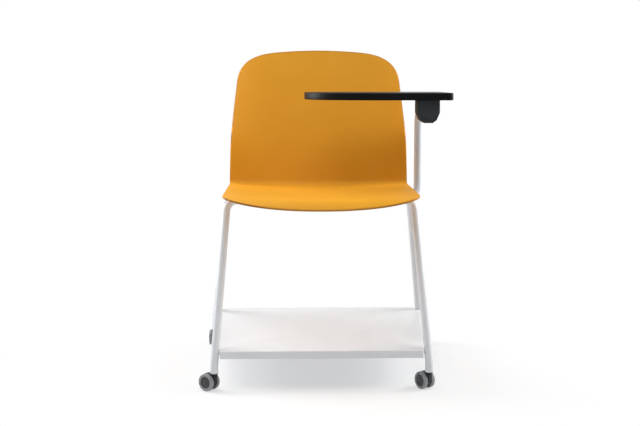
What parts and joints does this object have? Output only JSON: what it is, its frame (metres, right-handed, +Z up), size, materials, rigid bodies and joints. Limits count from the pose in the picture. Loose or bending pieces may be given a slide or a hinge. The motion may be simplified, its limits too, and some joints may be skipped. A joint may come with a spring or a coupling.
{
  "type": "nesting chair with writing tablet",
  "caption": "Stacking-type office chair with a moulded shell, tube frame on castors, low shelf and flip-up writing tablet.",
  "frame": {"origin": "on the floor, under the middle of the bounding box of the whole chair", "axes": "+Z up, the sitter faces -Y, the tablet is on the +X side"},
  "size_m": [0.6333, 0.545, 0.846],
  "materials": {
    "shell_plastic": "fine matte moulded polypropylene",
    "white_paint": "satin white powder coat",
    "black_plastic": "fine textured black",
    "tablet_black": "matte black laminate with a moulded edge",
    "grey_tread": "smooth grey polyurethane",
    "hub_plastic": "dark moulded nylon",
    "steel": "zinc-plated steel"
  },
  "bodies": {
    "frame": {"seat_shell": "shell_plastic", "front_leg_tube": "white_paint", "rear_leg_tube": "white_paint", "left_seat_rail": "white_paint", "left_front_spacer": "black_plastic", "left_front_seat_screw": "steel", "left_rear_spacer": "black_plastic", "left_rear_seat_screw": "steel", "left_front_shelf_screw": "steel", "left_rear_shelf_screw": "steel", "right_seat_rail": "white_paint", "right_front_spacer": "black_plastic", "right_front_seat_screw": "steel", "right_rear_spacer": "black_plastic", "right_rear_seat_screw": "steel", "right_front_shelf_screw": "steel", "right_rear_shelf_screw": "steel", "shelf_tray": "white_paint", "tablet_arm_tube": "white_paint", "arm_bracket": "white_paint", "arm_bolt_front": "steel", "arm_bolt_rear": "steel", "front_left_leg_socket": "black_plastic", "front_right_leg_socket": "black_plastic", "rear_left_leg_socket": "black_plastic", "rear_right_leg_socket": "black_plastic"},
    "tablet": {"tablet_board": "tablet_black", "tablet_housing": "black_plastic", "pivot_bush": "steel", "tablet_screw_left": "steel", "tablet_screw_right": "steel"},
    "front_left_castor": {"front_left_castor_stem": "steel", "front_left_castor_hood": "black_plastic", "front_left_castor_axle": "steel"},
    "front_left_near_wheel": {"front_left_near_tread": "grey_tread", "front_left_near_hub": "hub_plastic"},
    "front_left_far_wheel": {"front_left_far_tread": "grey_tread", "front_left_far_hub": "hub_plastic"},
    "front_right_castor": {"front_right_castor_stem": "steel", "front_right_castor_hood": "black_plastic", "front_right_castor_axle": "steel"},
    "front_right_near_wheel": {"front_right_near_tread": "grey_tread", "front_right_near_hub": "hub_plastic"},
    "front_right_far_wheel": {"front_right_far_tread": "grey_tread", "front_right_far_hub": "hub_plastic"},
    "rear_left_castor": {"rear_left_castor_stem": "steel", "rear_left_castor_hood": "black_plastic", "rear_left_castor_axle": "steel"},
    "rear_left_near_wheel": {"rear_left_near_tread": "grey_tread", "rear_left_near_hub": "hub_plastic"},
    "rear_left_far_wheel": {"rear_left_far_tread": "grey_tread", "rear_left_far_hub": "hub_plastic"},
    "rear_right_castor": {"rear_right_castor_stem": "steel", "rear_right_castor_hood": "black_plastic", "rear_right_castor_axle": "steel"},
    "rear_right_near_wheel": {"rear_right_near_tread": "grey_tread", "rear_right_near_hub": "hub_plastic"},
    "rear_right_far_wheel": {"rear_right_far_tread": "grey_tread", "rear_right_far_hub": "hub_plastic"}
  },
  "joints": [
    {"name": "tablet_flip", "type": "hinge", "parent": "frame", "child": "tablet", "pos_m": [0.25767, -0.1725, 0.686], "axis": [0, 1, 0], "range_deg": [0, 95]},
    {"name": "front_left_swivel", "type": "hinge", "parent": "frame", "child": "front_left_castor", "pos_m": [-0.26733, -0.2275, 0.043], "axis": [0, 0, 1], "continuous": true},
    {"name": "front_left_near_spin", "type": "hinge", "parent": "front_left_castor", "child": "front_left_near_wheel", "pos_m": [-0.28125, -0.21775, 0.02181], "axis": [-0.5736, -0.8192, 0], "continuous": true},
    {"name": "front_left_far_spin", "type": "hinge", "parent": "front_left_castor", "child": "front_left_far_wheel", "pos_m": [-0.28125, -0.21775, 0.02181], "axis": [-0.5736, -0.8192, 0], "continuous": true},
    {"name": "front_right_swivel", "type": "hinge", "parent": "frame", "child": "front_right_castor", "pos_m": [0.26467, -0.2275, 0.043], "axis": [0, 0, 1], "continuous": true},
    {"name": "front_right_near_spin", "type": "hinge", "parent": "front_right_castor", "child": "front_right_near_wheel", "pos_m": [0.25566, -0.21308, 0.02181], "axis": [-0.848, -0.5299, 0], "continuous": true},
    {"name": "front_right_far_spin", "type": "hinge", "parent": "front_right_castor", "child": "front_right_far_wheel", "pos_m": [0.25566, -0.21308, 0.02181], "axis": [-0.848, -0.5299, 0], "continuous": true},
    {"name": "rear_left_swivel", "type": "hinge", "parent": "frame", "child": "rear_left_castor", "pos_m": [-0.29933, 0.2625, 0.043], "axis": [0, 0, 1], "continuous": true},
    {"name": "rear_left_near_spin", "type": "hinge", "parent": "rear_left_castor", "child": "rear_left_near_wheel", "pos_m": [-0.29992, 0.24551, 0.02181], "axis": [0.9994, -0.0349, 0], "continuous": true},
    {"name": "rear_left_far_spin", "type": "hinge", "parent": "rear_left_castor", "child": "rear_left_far_wheel", "pos_m": [-0.29992, 0.24551, 0.02181], "axis": [0.9994, -0.0349, 0], "continuous": true},
    {"name": "rear_right_swivel", "type": "hinge", "parent": "frame", "child": "rear_right_castor", "pos_m": [0.29667, 0.2625, 0.043], "axis": [0, 0, 1], "continuous": true},
    {"name": "rear_right_near_spin", "type": "hinge", "parent": "rear_right_castor", "child": "rear_right_near_wheel", "pos_m": [0.29815, 0.24556, 0.02181], "axis": [0.9962, 0.0872, 0], "continuous": true},
    {"name": "rear_right_far_spin", "type": "hinge", "parent": "rear_right_castor", "child": "rear_right_far_wheel", "pos_m": [0.29815, 0.24556, 0.02181], "axis": [0.9962, 0.0872, 0], "continuous": true}
  ]
}
